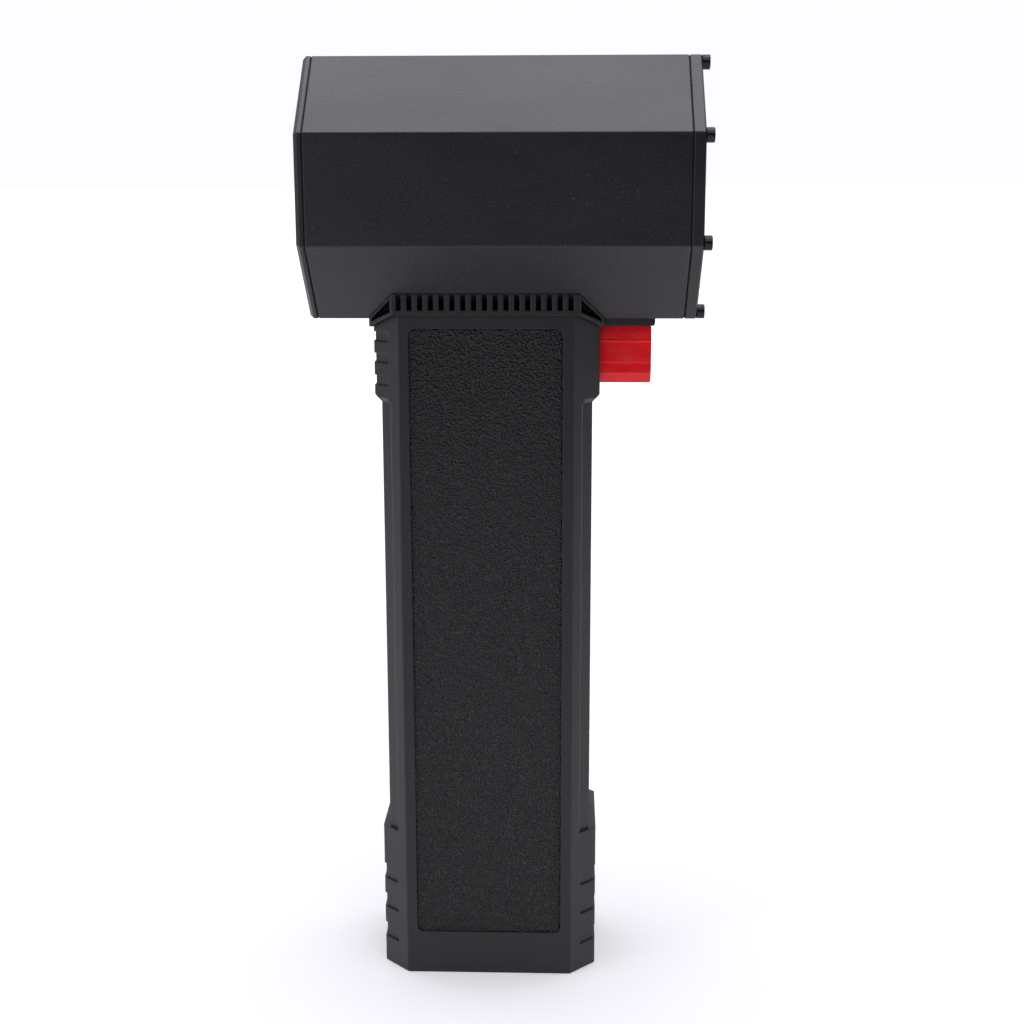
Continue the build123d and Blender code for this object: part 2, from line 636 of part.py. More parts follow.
def handle_shell(side):
    """One half of the handle: side -1 is the right (-Y) shell, +1 the left."""
    with BuildPart() as shell:
        add(corner_block(HANDLE_X, HANDLE_Y, HANDLE_CORNER, 0, 230))
        fillet(shell.edges().filter_by(Axis.Z), 0.9)
        chamfer(shell.faces().sort_by(Axis.Z)[0].edges(), 0.3)
        add(recess_cut(1), mode=Mode.SUBTRACT)
        add(recess_cut(-1), mode=Mode.SUBTRACT)
        for z0, z1 in TOP_NOTCHES:
            add(notch_cut(-1, z0, z1), mode=Mode.SUBTRACT)
        for z0, z1 in LOW_NOTCHES:
            add(notch_cut(1, z0, z1), mode=Mode.SUBTRACT)
            add(notch_cut(-1, z0, z1), mode=Mode.SUBTRACT)
        add(corner_block(CAVITY_X, CAVITY_Y, CAVITY_CORNER, FLOOR_T, 231), mode=Mode.SUBTRACT)
        # the top is cut to the collar's underside, the inner side to the joint at Y = 0
        add(neck_cut.part, mode=Mode.INTERSECT)
        add(octagon_slab(-70, 70), mode=Mode.SUBTRACT)
        add(box((-60, 60), (-END_Y - 0.1, END_Y + 0.1), (NECK_END_Z, 240)), mode=Mode.SUBTRACT)
        add(box((-60, 60), sorted((0, side * 60)), (-1, 240)), mode=Mode.INTERSECT)
        # shallow groove along the joint, front and back
        for end in (-1, 1):
            add(box(sorted((end * 33.2, end * 40)), (-0.12, 0.12), (0.7, 240)), mode=Mode.SUBTRACT)
        # pocket for the grip pad
        with BuildSketch(Plane.XZ.offset(-side * (HANDLE_Y - PAD_POCKET))):
            with Locations((0, (PAD_LOW + PAD_HIGH) / 2)):
                RectangleRounded(2 * (PAD_X + PAD_GAP), PAD_HIGH - PAD_LOW + 2 * PAD_GAP, 2.3)
        extrude(amount=-side * 5, mode=Mode.SUBTRACT)
        # screw bosses: deep counterbores on the right, blind pilot holes on the left
        for x, z in BOSSES:
            with BuildSketch(Plane.XZ):
                with Locations((x, z)):
                    Circle(BOSS_R)
            extrude(amount=-side * 22.5)
        for x, z in BOSSES:
            with BuildSketch(Plane.XZ):
                with Locations((x, z)):
                    Circle(1.65 if side < 0 else 1.46)
            extrude(amount=-side * (24 if side < 0 else 12), mode=Mode.SUBTRACT)
            if side < 0:
                with BuildSketch(Plane.XZ.offset(SCREW_SEAT)):
                    with Locations((x, z)):
                        Circle(3.0)
                extrude(amount=25, mode=Mode.SUBTRACT)
        # ledges that carry the battery, posts for the protection board
        for end in (-1, 1):
            for z0, z1 in ((22.0, CELL_LAYERS[0]), (CELL_LAYERS[1] + CELL_L, CELL_LAYERS[1] + CELL_L + 2.5)):
                add(box(sorted((end * 27.6, end * 31.4)), sorted((side * 8, side * 15)), (z0, z1)))
            add(box(sorted((end * 24, end * 27)), sorted((side * 10, side * 16)), (FLOOR_T - 0.5, PROTECT_Z)))
        # rails for the speed controller, ribs that grip the switch
        for x in (CONTROL_X - 1.4, CONTROL_X + BOARD_T + 0.1):
            add(box((x, x + 1.3), sorted((side * 19.6, side * 22)), (CONTROL_LOW + 2, CONTROL_HIGH - 2)))
        for z0 in (204.0, 211.5):
            add(box((9.0, 15.0), sorted((side * 9.05, side * 22)), (z0, z0 + 2.2)))
        # openings: charge jack in the floor, trigger in the front
        with BuildSketch(Plane.XY):
            with Locations((JACK_X, 0)):
                Circle(4.1)
        extrude(amount=FLOOR_T, mode=Mode.SUBTRACT)
        add(trigger_section(TRIGGER_OPENING, CAVITY_X - 1, 40), mode=Mode.SUBTRACT)
        add(box((CAVITY_X - 1, 40), (-10.3, 10.3), (215, 230)), mode=Mode.SUBTRACT)
    return shell


handle_shell_right = handle_shell(-1)
handle_shell_left = handle_shell(1)

with BuildPart() as shell_screws:
    for x, z in BOSSES:
        add(cap_screw((x, -SCREW_SEAT, z), (0, 1, 0), 1.44, 14, 2.75, 2.0, 2.0))


def grip_pad(side):
    """Leather-grained pad bonded into the shell's pocket."""
    with BuildPart() as pad:
        with BuildSketch(Plane.XZ.offset(-side * (HANDLE_Y - PAD_POCKET))):
            with Locations((0, (PAD_LOW + PAD_HIGH) / 2)):
                RectangleRounded(2 * PAD_X, PAD_HIGH - PAD_LOW, 2.2)
        extrude(amount=-side * PAD_T)
        outer = pad.faces().sort_by(Axis.Y)[0 if side < 0 else -1]
        fillet(outer.edges(), 0.25)
    return pad


grip_pad_right = grip_pad(-1)
grip_pad_left = grip_pad(1)

# ---- trigger and switch -----------------------------------------------------
with BuildPart() as trigger:
    add(trigger_section(TRIGGER_SIDE, FLANGE_FRONT - 0.5, TRIGGER_FRONT))
    fillet(trigger.faces().sort_by(Axis.X)[-1].edges(), 0.45)
    for profile in RIB_CUTS:
        add(rib_cut(profile), mode=Mode.SUBTRACT)
    add(box((FLANGE_BACK, FLANGE_FRONT), (-14.5, 14.5), (199.0, 216.6)))
    with BuildSketch(Plane(origin=(FLANGE_BACK, 0, PLUNGER_Z), z_dir=(1, 0, 0))):
        Circle(5.2)
    extrude(amount=SPRING_END - FLANGE_BACK, mode=Mode.SUBTRACT)

with BuildPart() as switch_plunger:
    with BuildSketch(Plane(origin=(15.3, 0, PLUNGER_Z), z_dir=(1, 0, 0))):
        Circle(PLUNGER_R)
    extrude(amount=SPRING_END - 15.3)
    chamfer(switch_plunger.edges().group_by(Axis.X)[0], 0.4)

spring_run = SPRING_END - SWITCH_FRONT - 2 * SPRING_WIRE_R - 0.1
with BuildPart() as trigger_spring:
    with BuildLine() as coil_line:
        Helix(
            pitch=spring_run / SPRING_TURNS, height=spring_run, radius=SPRING_R,
            center=(SWITCH_FRONT + SPRING_WIRE_R + 0.05, 0, PLUNGER_Z), direction=(1, 0, 0),
        )
    with BuildSketch(Plane(origin=coil_line.line @ 0, z_dir=coil_line.line % 0)):
        Circle(SPRING_WIRE_R)
    sweep(path=coil_line.line, is_frenet=True)

with BuildPart() as switch_body:
    add(box((SWITCH_BACK, SWITCH_FRONT), (-9.0, 9.0), (SWITCH_LOW, 216.3)))
    chamfer(switch_body.edges().filter_by(Axis.X), 0.5)
    with BuildSketch(Plane(origin=(8.0, 0, PLUNGER_Z), z_dir=(1, 0, 0))):
        Circle(PLUNGER_R + 0.06)
    extrude(amount=20, mode=Mode.SUBTRACT)

with BuildPart() as switch_leads:
    for x, z in ((10.0, 196.5), (12.5, 194.0), (15.0, 191.5)):
        route = [(x, 6.5, SWITCH_LOW), (x, 6.5, z), (CONTROL_X + BOARD_T, 6.5, z)]
        add(lead(route, 2.0, 0.7))

# ---- speed controller -------------------------------------------------------
with BuildPart() as controller_board:
    add(box((CONTROL_X, CONTROL_X + BOARD_T), (-20.9, 20.9), (CONTROL_LOW, CONTROL_HIGH)))

with BuildPart() as controller_transistors:
    for y in (-10, -5, 0, 5, 10):
        for z in (177.0, 186.0):
            add(box((CONTROL_X - 1.0, CONTROL_X), (y - 2, y + 2), (z - 3, z + 3)))

with BuildPart() as controller_heat_sink:
    add(box((CONTROL_X - 3.0, CONTROL_X - 1.0), (-13.5, 13.5), (173.0, 190.0)))
    for k in range(10):
        y = -13.5 + k * 2.9
        add(box((CONTROL_X - 10.0, CONTROL_X - 3.0), (y, y + 0.9), (173.0, 190.0)))

with BuildPart() as controller_capacitors:
    for y in (-13.0, 13.0):
        with BuildSketch(Plane(origin=(CONTROL_X, y, 197.6), z_dir=(-1, 0, 0))):
            Circle(5.0)
        extrude(amount=18)
    chamfer(controller_capacitors.edges().group_by(Axis.X)[0], 0.5)

with BuildPart() as controller_chips:
    front = CONTROL_X + BOARD_T
    add(box((front, front + 1.0), (-14, -7), (172, 179)))
    add(box((front, front + 0.9), (9.5, 14.5), (182, 187)))
    add(box((front, front + 1.6), (-15, -9), (190, 194)))
    add(box((front, front + 0.8), (-2, 2), (181, 185)))

# ---- battery ----------------------------------------------------------------
cell_spots = [(i * CELL_PITCH, j * CELL_PITCH / 2) for i in (-1, 0, 1) for j in (-1, 1)]

with BuildPart() as battery_cells:
    for base in CELL_LAYERS:
        with BuildSketch(Plane.XY.offset(base)):
            with Locations(*cell_spots):
                Circle(CELL_R)
        extrude(amount=CELL_L)
    chamfer(battery_cells.edges().filter_by(GeomType.CIRCLE), 0.5)

with BuildPart() as cell_holders:
    for base in CELL_LAYERS:
        for z0 in (base, base + CELL_L - HOLDER_H):
            add(corner_block(30.7, 21.4, 6.0, z0, z0 + HOLDER_H))
            with BuildSketch(Plane.XY.offset(z0)):
                with Locations(*cell_spots):
                    Circle(CELL_R + 0.1)
                for x in (-POWER_LEAD_X, POWER_LEAD_X):
                    with Locations((x, POWER_LEAD_Y - 3)):
                        Rectangle(3.6, 9.4)
            extrude(amount=HOLDER_H, mode=Mode.SUBTRACT)

with BuildPart() as nickel_strips:
    near = CELL_PITCH - 4
    far = CELL_PITCH + 4
    for z0, side in (
        (CELL_LAYERS[0] - STRIP_T, -1), (CELL_LAYERS[0] + CELL_L, 1),
        (CELL_LAYERS[1] - STRIP_T, 1), (CELL_LAYERS[1] + CELL_L, -1),
    ):
        reach = 26.7 if side > 0 else far
        add(box(sorted((side * (near - 4.4), side * reach)), (-13.5, 13.5), (z0, z0 + STRIP_T)))
        add(box(sorted((-side * far, side * 4.0)), (-13.5, 13.5), (z0, z0 + STRIP_T)))
    add(box((26.4, 26.7), (-4, 4), (CELL_LAYERS[0] + CELL_L, CELL_LAYERS[1])))

with BuildPart() as protection_board:
    add(corner_block(28.5, 19.5, 6.0, PROTECT_Z, PROTECT_Z + BOARD_T))

with BuildPart() as protection_parts:
    top = PROTECT_Z + BOARD_T
    for x in (-3.0, 3.0, 15.0, 21.0):
        add(box((x - 2, x + 2), (-3, 3), (top, top + 1.0)))
    add(box((-20, -14), (11, 16), (top, top + 1.2)))
    add(box((13, 20), (9, 16), (top, top + 1.0)))

with BuildPart() as charge_jack:
    with BuildSketch(Plane.XY.offset(0.5)):
        with Locations((JACK_X, 0)):
            Circle(4.0)
    extrude(amount=2.5)
    add(box((JACK_X - 5, JACK_X + 5), (-5, 5), (FLOOR_T, PROTECT_Z)))
    with BuildSketch(Plane.XY.offset(0.5)):
        with Locations((JACK_X, 0)):
            Circle(JACK_R)
            Circle(1.0, mode=Mode.SUBTRACT)
    extrude(amount=8.5, mode=Mode.SUBTRACT)
    with BuildSketch(Plane.XY.offset(0.4)):
        with Locations((JACK_X, 0)):
            Circle(1.2)
    extrude(amount=1.1, mode=Mode.SUBTRACT)

with BuildPart() as power_leads:
    board_top = PROTECT_Z + BOARD_T
    for x, end in ((POWER_LEAD_X, CONTROL_X + BOARD_T), (-POWER_LEAD_X, CONTROL_X)):
        route = [(x, POWER_LEAD_Y, board_top), (x, POWER_LEAD_Y, 180.0), (end, POWER_LEAD_Y, 180.0)]
        add(lead(route, 4.0, POWER_LEAD_R))
    pack_top = CELL_LAYERS[1] + CELL_L + STRIP_T
    add(lead([(-13.0, 9.0, pack_top), (-13.0, 9.0, 170.2), (CONTROL_X, 9.0, 170.2)], 2.6, POWER_LEAD_R))

with BuildPart() as pack_leads:
    for x in (-13.0, 8.0):
        add(lead([(x, 8.0, PROTECT_Z + BOARD_T), (x, 8.0, CELL_LAYERS[0] - STRIP_T)], 1.0, 1.2))

# ---- files ------------------------------------------------------------------
save(barrel_casing.part, "barrel_casing")
save(intake_ring.part, "intake_ring")
save(intake_screws.part, "intake_screws")
save(intake_grille.part, "intake_grille")
save(inlet_lip.part, "inlet_lip")
save(outlet_ring.part, "outlet_ring")
save(outlet_screws.part, "outlet_screws")
save(outlet_liner, "outlet_liner")
save(fan_shroud.part, "fan_shroud")
save(tail_cone, "tail_cone")
save(fan_rotor.part, "fan_rotor")
save(spinner, "spinner")
save(spinner_screw, "spinner_screw")
save(rotor_nut.part, "rotor_nut")
save(motor_shaft.part, "motor_shaft")
save(rotor_magnet, "rotor_magnet")
save(motor_can, "motor_can")
save(motor_end_plate.part, "motor_end_plate")
save(motor_rear_cap.part, "motor_rear_cap")
save(motor_bearings.part, "motor_bearings")
save(motor_stator_core.part, "motor_stator_core")
save(motor_windings.part, "motor_windings")
save(motor_screws.part, "motor_screws")
save(motor_leads.part, "motor_leads")
save(vent_collar.part, "vent_collar")
save(collar_screws.part, "collar_screws")
save(handle_shell_right.part, "handle_shell_right")
save(handle_shell_left.part, "handle_shell_left")
save(shell_screws.part, "shell_screws")
save(grip_pad_right.part, "grip_pad_right")
save(grip_pad_left.part, "grip_pad_left")
save(trigger.part, "trigger")
save(switch_plunger.part, "switch_plunger")
save(trigger_spring.part, "trigger_spring")
save(switch_body.part, "switch_body")
save(switch_leads.part, "switch_leads")
save(controller_board.part, "controller_board")
save(controller_transistors.part, "controller_transistors")
save(controller_heat_sink.part, "controller_heat_sink")
save(controller_capacitors.part, "controller_capacitors")
save(controller_chips.part, "controller_chips")
save(battery_cells.part, "battery_cells")
save(cell_holders.part, "cell_holders")
save(nickel_strips.part, "nickel_strips")
save(protection_board.part, "protection_board")
save(protection_parts.part, "protection_parts")
save(charge_jack.part, "charge_jack")
save(power_leads.part, "power_leads")
save(pack_leads.part, "pack_leads")
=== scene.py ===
import json
import math

import bpy
from mathutils import Matrix, Vector, noise


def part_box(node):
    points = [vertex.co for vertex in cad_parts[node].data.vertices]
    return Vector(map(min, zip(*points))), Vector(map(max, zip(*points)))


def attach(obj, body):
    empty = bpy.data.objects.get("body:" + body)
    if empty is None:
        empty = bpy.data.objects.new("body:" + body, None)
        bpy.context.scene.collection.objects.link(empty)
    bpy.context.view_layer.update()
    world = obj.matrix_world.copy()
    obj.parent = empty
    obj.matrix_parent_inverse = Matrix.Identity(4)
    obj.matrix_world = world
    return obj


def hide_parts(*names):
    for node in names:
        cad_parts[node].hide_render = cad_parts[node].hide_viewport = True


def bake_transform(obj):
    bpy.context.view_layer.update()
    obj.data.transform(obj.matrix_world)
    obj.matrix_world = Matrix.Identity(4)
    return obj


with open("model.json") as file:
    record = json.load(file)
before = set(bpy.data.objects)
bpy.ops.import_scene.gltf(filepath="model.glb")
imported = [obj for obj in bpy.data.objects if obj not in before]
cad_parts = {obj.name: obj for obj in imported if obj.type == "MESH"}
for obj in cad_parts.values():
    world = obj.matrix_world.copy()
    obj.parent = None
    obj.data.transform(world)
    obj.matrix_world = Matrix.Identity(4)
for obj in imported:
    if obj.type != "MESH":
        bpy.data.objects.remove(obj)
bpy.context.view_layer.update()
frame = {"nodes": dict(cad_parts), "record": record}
nodes = frame["nodes"]
record = frame["record"]
slot_of = {s["node"]: s["material_slot"] for s in record["subparts"]}

MM = 0.001


# ---- material building ------------------------------------------------------
class Shade:
    """A small wrapper that builds one Principled material with object-space textures."""

    def __init__(self, name, roughness=0.5, metallic=0.0, specular=0.5,
                 coat=0.0, coat_roughness=0.1, edge=0.0):
        self.mat = bpy.data.materials.new(name)
        self.mat.use_nodes = True
        self.tree = self.mat.node_tree
        self.bsdf = self.tree.nodes["Principled BSDF"]
        self.bsdf.inputs["Roughness"].default_value = roughness
        self.bsdf.inputs["Metallic"].default_value = metallic
        self.bsdf.inputs["Specular IOR Level"].default_value = specular
        self.bsdf.inputs["Coat Weight"].default_value = coat
        self.bsdf.inputs["Coat Roughness"].default_value = coat_roughness
        self.coords = self.tree.nodes.new("ShaderNodeTexCoord")
        self.normal = None
        if edge > 0:
            # the small radius that moulding, machining and coating leave on every edge
            rounding = self.tree.nodes.new("ShaderNodeBevel")
            rounding.samples = 4
            rounding.inputs["Radius"].default_value = edge
            self.normal = rounding.outputs["Normal"]
            self.link(self.normal, self.bsdf.inputs["Normal"])

    def link(self, a, b):
        self.tree.links.new(a, b)

    def stretched(self, stretch, lean=0.0):
        """Object coordinates scaled per axis, so a grain can run along one direction."""
        mapping = self.tree.nodes.new("ShaderNodeMapping")
        mapping.vector_type = "TEXTURE" if lean else "POINT"
        if lean:
            stretch = tuple(1 / v for v in stretch)
            mapping.inputs["Rotation"].default_value = (0.0, lean, 0.0)
        mapping.inputs["Scale"].default_value = stretch
        self.link(self.coords.outputs["Object"], mapping.inputs["Vector"])
        return mapping.outputs["Vector"]

    def noise(self, scale, detail=4.0, roughness=0.55, stretch=None, source=None):
        node = self.tree.nodes.new("ShaderNodeTexNoise")
        node.inputs["Scale"].default_value = scale
        node.inputs["Detail"].default_value = detail
        node.inputs["Roughness"].default_value = roughness
        if stretch:
            source = self.stretched(stretch)
        self.link(source or self.coords.outputs["Object"], node.inputs["Vector"])
        return node.outputs["Fac"]

    def cells(self, scale, feature="F1", source=None, output="Distance", jitter=1.0):
        node = self.tree.nodes.new("ShaderNodeTexVoronoi")
        node.feature = feature
        node.inputs["Scale"].default_value = scale
        node.inputs["Randomness"].default_value = jitter
        self.link(source or self.coords.outputs["Object"], node.inputs["Vector"])
        return node.outputs[output]

    def warped(self, source, scale, amount):
        """A vector pushed about by noise, so that cells lose their straight borders."""
        node = self.tree.nodes.new("ShaderNodeTexNoise")
        node.inputs["Scale"].default_value = scale
        node.inputs["Detail"].default_value = 2.0
        self.link(source, node.inputs["Vector"])
        push = self.tree.nodes.new("ShaderNodeVectorMath")
        push.operation = "MULTIPLY_ADD"
        self.link(node.outputs["Color"], push.inputs[0])
        push.inputs[1].default_value = (amount, amount, amount)
        self.link(source, push.inputs[2])
        return push.outputs[0]

    def spread(self, value, low, high, out_low=0.0, out_high=1.0, soft=False):
        node = self.tree.nodes.new("ShaderNodeMapRange")
        node.interpolation_type = "SMOOTHSTEP" if soft else "LINEAR"
        node.inputs["From Min"].default_value = low
        node.inputs["From Max"].default_value = high
        node.inputs["To Min"].default_value = out_low
        node.inputs["To Max"].default_value = out_high
        self.link(value, node.inputs["Value"])
        return node.outputs["Result"]

    def math(self, kind, a, b=0.0):
        node = self.tree.nodes.new("ShaderNodeMath")
        node.operation = kind
        for socket, value in zip(node.inputs, (a, b)):
            if isinstance(value, (int, float)):
                socket.default_value = value
            else:
                self.link(value, socket)
        return node.outputs[0]

    def blend(self, fac, first, second):
        node = self.tree.nodes.new("ShaderNodeMix")
        node.data_type = "RGBA"
        self.link(fac, node.inputs["Factor"])
        for socket, value in zip((node.inputs[6], node.inputs[7]), (first, second)):
            if isinstance(value, tuple):
                socket.default_value = (*value, 1.0)
            else:
                self.link(value, socket)
        return node.outputs[2]

    def colour(self, value):
        self.link(value, self.bsdf.inputs["Base Color"])

    def rough(self, value):
        self.link(value, self.bsdf.inputs["Roughness"])

    def bump(self, height, distance, strength=1.0):
        node = self.tree.nodes.new("ShaderNodeBump")
        node.inputs["Distance"].default_value = distance
        node.inputs["Strength"].default_value = strength
        self.link(height, node.inputs["Height"])
        if self.normal is not None:
            self.link(self.normal, node.inputs["Normal"])
        self.normal = node.outputs["Normal"]
        self.link(self.normal, self.bsdf.inputs["Normal"])


def scaled(tone, factor):
    """A colour made darker or lighter."""
    return tuple(c * factor for c in tone)


def dusted(shade, colour, dust, spacing, size, share, amount):
    """Sparse pale specks of dust over a colour, thicker in some areas than in others."""
    near = shade.cells(1.0 / spacing)
    lot = shade.cells(1.0 / spacing, output="Color")
    split = shade.tree.nodes.new("ShaderNodeSeparateColor")
    shade.link(lot, split.inputs["Color"])
    speck = shade.spread(near, size, size * 0.5)
    area = shade.spread(shade.noise(28.0, 2.0), 0.35, 0.65, 0.25, 1.0)
    chosen = shade.spread(split.outputs["Red"], 1.0 - share, 1.0 - share + 0.02)
    faint = shade.math("MULTIPLY", split.outputs["Green"], amount)
    here = shade.math("MULTIPLY", speck, chosen)
    fac = shade.math("MULTIPLY", here, shade.math("MULTIPLY", faint, area))
    return shade.blend(fac, colour, dust)


def coated_metal(name, tone, roughness, dust_amount):
    """Powder-coated alloy: fine orange peel, faint handling marks, a little dust."""
    s = Shade(name, roughness=roughness, specular=0.42, edge=0.0005)
    cloud = s.noise(14.0, 3.0)
    fleck = s.noise(2000.0, 2.0, 0.7)
    base = s.blend(s.spread(cloud, 0.35, 0.7), scaled(tone, 0.92), scaled(tone, 1.08))
    base = s.blend(s.spread(fleck, 0.5, 0.75, 0.0, 0.7), base, scaled(tone, 3.0))
    s.colour(dusted(s, base, (0.30, 0.30, 0.32), 0.0021, 0.08, 0.35, dust_amount))
    peel = s.noise(1500.0, 2.0)
    smear = s.noise(38.0, 5.0, stretch=(0.4, 1.0, 1.0))
    wear = s.math("ADD", s.math("MULTIPLY", fleck, 0.6), smear)
    s.rough(s.spread(wear, 0.5, 1.15, roughness - 0.1, roughness + 0.12))
    s.bump(peel, 0.0001, 0.8)
    return s.mat


def moulded_plastic(name, tone, roughness, grain=2600.0, depth=0.00004,
                    dust_amount=0.0, edge=0.0002):
    """Spark-eroded plastic: a tight even grain with slightly varied gloss."""
    s = Shade(name, roughness=roughness, specular=0.4, edge=edge)
    cloud = s.noise(22.0, 4.0)
    base = s.blend(s.spread(cloud, 0.35, 0.7), scaled(tone, 0.9), scaled(tone, 1.1))
    if dust_amount > 0:
        base = dusted(s, base, (0.26, 0.26, 0.28), 0.0021, 0.09, 0.4, dust_amount)
    s.colour(base)
    fine = s.noise(grain, 3.0, 0.6)
    gloss = s.math("ADD", fine, s.math("MULTIPLY", cloud, 0.6))
    s.rough(s.spread(gloss, 0.5, 1.1, roughness - 0.07, roughness + 0.07))
    s.bump(fine, depth, 0.5)
    return s.mat


def worked_metal(name, tone, roughness, stretch, depth=0.00002):
    """Turned or drawn metal with marks along one direction."""
    s = Shade(name, roughness=roughness, metallic=1.0)
    lines = s.noise(900.0, 4.0, 0.65, stretch=stretch)
    tint = s.noise(30.0, 3.0)
    s.colour(s.blend(s.spread(tint, 0.3, 0.7), scaled(tone, 0.85), tone))
    s.rough(s.spread(lines, 0.3, 0.75, max(0.05, roughness - 0.1), roughness + 0.12))
    s.bump(lines, depth, 0.4)
    return s.mat


def leather(name, tone):
    """Coated leather: leaning pebbles under a millimetre wide, glossy on top, with painted shade
    darkening the crevices between.
    """
    s = Shade(name, roughness=0.45, specular=0.45)
    grain = s.stretched((1.0, 1.0, 0.7), lean=0.25)
    ridge = s.noise(1950.0, 0.6, 0.3, source=s.warped(grain, 800.0, 0.0003))
    crown = s.spread(ridge, 0.28, 0.70)
    pores = s.noise(4200.0, 3.0, 0.6)
    patch = s.noise(60.0, 4.0)
    base = s.blend(s.spread(patch, 0.3, 0.7), scaled(tone, 0.85), scaled(tone, 1.15))
    # painted shade: the crevices between the pebbles drop to half the colour, standing in for the
    # shade that falls in them
    s.colour(s.blend(crown, scaled(tone, 0.5), base))
    s.rough(s.spread(s.math("ADD", crown, s.math("MULTIPLY", pores, 0.4)), 0.4, 1.1, 0.6, 0.24))
    s.bump(crown, 0.0017, 1.0)
    s.bump(pores, 0.00002, 0.4)
    return s.mat


def trigger_plastic(name, tone):
    """Glossy dyed plastic with dust rubbed into it."""
    s = Shade(name, roughness=0.34, specular=0.35, edge=0.0003)
    cloud = s.noise(90.0, 5.0, 0.6)
    film = s.noise(420.0, 4.0, 0.6, stretch=(0.35, 1.0, 1.0))
    base = s.blend(s.spread(cloud, 0.35, 0.7), scaled(tone, 0.86), tone)
    base = s.blend(s.spread(film, 0.48, 0.95, 0.0, 0.14), base, (0.75, 0.2, 0.2))
    s.colour(dusted(s, base, (0.9, 0.35, 0.35), 0.0013, 0.10, 0.3, 0.5))
    s.rough(s.spread(film, 0.3, 0.8, 0.26, 0.46))
    s.bump(s.noise(1800.0, 2.0), 0.00002, 0.3)
    return s.mat


def circuit_board(name):
    """Green solder mask over etched tracks."""
    s = Shade(name, roughness=0.35, specular=0.5, coat=0.3, coat_roughness=0.15)
    tracks = s.cells(420.0, feature="DISTANCE_TO_EDGE", jitter=0.25)
    edge = s.spread(tracks, 0.05, 0.08)
    s.colour(s.blend(edge, (0.012, 0.13, 0.05), (0.008, 0.075, 0.03)))
    s.rough(s.spread(s.noise(300.0), 0.3, 0.7, 0.28, 0.42))
    s.bump(edge, 0.00003, 0.5)
    return s.mat


def sleeve(name, tone, gloss):
    """Heat-shrunk film with faint ripples."""
    s = Shade(name, roughness=gloss, specular=0.5, coat=0.2)
    ripple = s.noise(160.0, 3.0, stretch=(1.0, 1.0, 0.3))
    s.colour(s.blend(s.spread(ripple, 0.3, 0.7), scaled(tone, 0.85), tone))
    s.rough(s.spread(ripple, 0.3, 0.7, gloss - 0.06, gloss + 0.08))
    s.bump(ripple, 0.0001, 0.35)
    return s.mat


def wound_copper(name):
    """Enamelled copper wire, ribbed by its turns."""
    s = Shade(name, roughness=0.28, metallic=1.0)
    wave = s.tree.nodes.new("ShaderNodeTexWave")
    wave.inputs["Scale"].default_value = 620.0
    wave.bands_direction = "Z"
    s.link(s.coords.outputs["Object"], wave.inputs["Vector"])
    # painted shade and highlight: the colour follows the turns, dark in the grooves between them
    # and bright on their crowns
    s.colour(s.blend(wave.outputs["Fac"], (0.32, 0.11, 0.035), (0.72, 0.30, 0.10)))
    s.rough(s.spread(s.noise(500.0), 0.3, 0.7, 0.22, 0.4))
    s.bump(wave.outputs["Fac"], 0.0002, 0.6)
    return s.mat


materials = {
    "barrel_coat": coated_metal("barrel_coat", (0.0078, 0.0076, 0.0096), 0.33, 0.6),
    "ring_coat": coated_metal("ring_coat", (0.0075, 0.0074, 0.009), 0.33, 0.7),
    "grille_coat": coated_metal("grille_coat", (0.010, 0.010, 0.011), 0.36, 0.3),
    "black_steel": worked_metal("black_steel", (0.035, 0.035, 0.037), 0.30, (1.0, 1.0, 1.0)),
    "duct_plastic": moulded_plastic("duct_plastic", (0.016, 0.016, 0.017), 0.5, 1800.0),
    "fan_plastic": moulded_plastic("fan_plastic", (0.02, 0.02, 0.021), 0.42, 1500.0),
    "bare_alloy": worked_metal("bare_alloy", (0.62, 0.62, 0.64), 0.30, (3.0, 0.3, 0.3)),
    "bright_steel": worked_metal("bright_steel", (0.50, 0.50, 0.52), 0.22, (3.0, 0.4, 0.4)),
    "magnet": worked_metal("magnet", (0.46, 0.46, 0.48), 0.16, (1.0, 1.0, 1.0)),
    "core_steel": worked_metal("core_steel", (0.22, 0.22, 0.23), 0.42, (8.0, 0.2, 0.2), 0.0001),
    "copper_wire": wound_copper("copper_wire"),
    "lead_jacket": moulded_plastic("lead_jacket", (0.018, 0.018, 0.018), 0.6, 900.0),
    "power_jacket": moulded_plastic("power_jacket", (0.30, 0.012, 0.012), 0.55, 900.0),
    "handle_plastic": moulded_plastic("handle_plastic", (0.0095, 0.0092, 0.0112), 0.38, 2400.0,
                                      0.00004, dust_amount=0.7, edge=0.0006),
    "grip_leather": leather("grip_leather", (0.0125, 0.0122, 0.0143)),
    "trigger_red": trigger_plastic("trigger_red", (0.9, 0.008, 0.013)),
    "switch_plastic": moulded_plastic("switch_plastic", (0.012, 0.012, 0.013), 0.5, 1600.0),
    "circuit_board": circuit_board("circuit_board"),
    "chip_black": moulded_plastic("chip_black", (0.012, 0.012, 0.012), 0.45, 3000.0),
    "capacitor_sleeve": sleeve("capacitor_sleeve", (0.012, 0.012, 0.05), 0.25),
    "cell_wrap": sleeve("cell_wrap", (0.02, 0.16, 0.36), 0.25),
    "holder_plastic": moulded_plastic("holder_plastic", (0.02, 0.02, 0.02), 0.5, 1600.0),
    "nickel": worked_metal("nickel", (0.52, 0.50, 0.45), 0.28, (0.5, 6.0, 0.5)),
}
for name, node in nodes.items():
    node.data.materials.clear()
    node.data.materials.append(materials[slot_of[name]])


# ---- leather grip pads ------------------------------------------------------
def swell(x, z, seed):
    """The slow unevenness of leather over its backing, in metres."""
    return noise.noise(Vector((x * 160, seed, z * 160))) * 0.04 * MM


